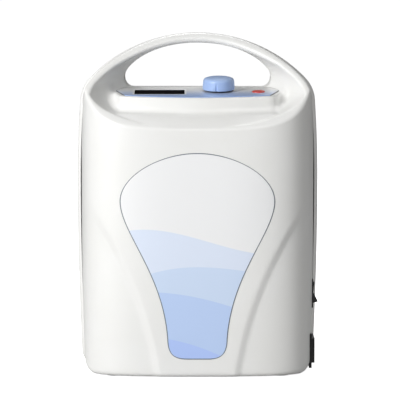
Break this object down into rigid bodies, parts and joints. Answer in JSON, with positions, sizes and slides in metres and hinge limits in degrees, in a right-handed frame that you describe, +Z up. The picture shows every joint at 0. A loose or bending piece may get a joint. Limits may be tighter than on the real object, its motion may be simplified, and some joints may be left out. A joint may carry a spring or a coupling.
{
  "type": "compression therapy pump",
  "caption": "Bedside air compression therapy pump: a two-shell case with a carrying arch, sloping control console, display, knob, start button and side mains switch.",
  "frame": {"origin": "centre of the bounding box at the height of the feet", "axes": "+Z up, front faces -Y, mains switch and inlet on the +X side"},
  "size_m": [0.178, 0.112, 0.247],
  "materials": {
    "white_shell": "satin injection-moulded ABS with a fine spark texture",
    "rear_white": "satin injection-moulded ABS, slightly greyer than the front",
    "label_print": "printed polyester label with soft blue bands and a thin dark outline",
    "membrane": "printed polyester membrane, grey-white at the back to blue at the front",
    "smoked_window": "smoked clear acrylic",
    "display_black": "black display block with pale segments",
    "board_green": "solder-masked circuit board",
    "zinc_steel": "zinc-plated steel screws",
    "knob_blue": "pale blue moulded plastic",
    "shaft_metal": "turned steel shaft",
    "control_grey": "moulded control body with a plated bushing",
    "button_red": "glossy red moulded cap",
    "switch_black": "black moulded switch",
    "sensor_black": "black moulded sensor with a port",
    "black_plastic": "black moulded nylon",
    "rocker_black": "black moulded rocker",
    "brass_contacts": "stamped brass tabs",
    "plated_pins": "nickel-plated brass blades",
    "transformer_yellow": "taped winding on a ferrite core",
    "capacitor_sleeve": "shrink-sleeved aluminium can",
    "zinc_plate": "folded zinc-plated steel sheet",
    "cast_head": "die-cast aluminium",
    "diaphragm_rubber": "moulded rubber",
    "core_steel": "stacked steel laminations",
    "coil_copper": "enamelled copper winding",
    "armature_steel": "steel bar with magnet blocks",
    "mount_rubber": "moulded rubber grommets",
    "ivory_plastic": "moulded acetal",
    "rotor_white": "moulded acetal rotor",
    "motor_can": "drawn steel can",
    "silicone_tube": "translucent silicone tube",
    "outlet_grey": "moulded grey outlet socket",
    "case_screw_steel": "zinc-plated cross-head screws",
    "foot_rubber": "moulded rubber feet"
  },
  "bodies": {
    "pump_case": {"front_shell": "white_shell", "rear_shell": "rear_white", "front_label": "label_print", "membrane_panel": "membrane", "display_window": "smoked_window", "display_module": "display_black", "control_board": "board_green", "control_board_screws": "zinc_steel", "control_body": "control_grey", "start_switch": "switch_black", "pressure_sensor": "sensor_black", "rocker_housing": "black_plastic", "rocker_terminals": "brass_contacts", "power_inlet": "black_plastic", "inlet_pins": "plated_pins", "supply_board": "board_green", "supply_board_screws": "zinc_steel", "transformer": "transformer_yellow", "supply_capacitor": "capacitor_sleeve", "pump_frame": "zinc_plate", "pump_head_left": "cast_head", "pump_head_right": "cast_head", "diaphragms": "diaphragm_rubber", "field_core": "core_steel", "field_coil": "coil_copper", "pump_mounts": "mount_rubber", "pump_screws": "zinc_steel", "distributor_body": "ivory_plastic", "distributor_motor": "motor_can", "supply_tube_left": "silicone_tube", "supply_tube_right": "silicone_tube", "outlet_tube_left": "silicone_tube", "outlet_tube_right": "silicone_tube", "air_outlets": "outlet_grey", "case_screws": "case_screw_steel", "rubber_feet": "foot_rubber"},
    "knob": {"knob": "knob_blue", "control_shaft": "shaft_metal"},
    "rocker": {"rocker": "rocker_black"},
    "start_button": {"start_button": "button_red"},
    "armature": {"armature": "armature_steel"},
    "distributor_rotor": {"distributor_rotor": "rotor_white"}
  },
  "joints": [
    {"name": "knob_turn", "type": "hinge", "parent": "pump_case", "child": "knob", "pos_m": [0.0155, -0.00872, 0.20539], "axis": [0, -0.1305, 0.9914], "range_deg": [-135, 135]},
    {"name": "rocker_tilt", "type": "hinge", "parent": "pump_case", "child": "rocker", "pos_m": [0.08202, -0.012, 0.0575], "axis": [0, 1, 0], "range_deg": [0, 20]},
    {"name": "start_press", "type": "slide", "parent": "pump_case", "child": "start_button", "axis": [0, 0.1305, -0.9914], "range_m": [0, 0.0008], "stiffness_N_per_m": 600, "springref_m": -0.0005},
    {"name": "armature_swing", "type": "slide", "parent": "pump_case", "child": "armature", "axis": [1, 0, 0], "range_m": [-0.001, 0.001], "stiffness_N_per_m": 4000},
    {"name": "rotor_turn", "type": "hinge", "parent": "pump_case", "child": "distributor_rotor", "pos_m": [-0.038, 0.03, 0.122], "axis": [0, 1, 0], "continuous": true}
  ]
}
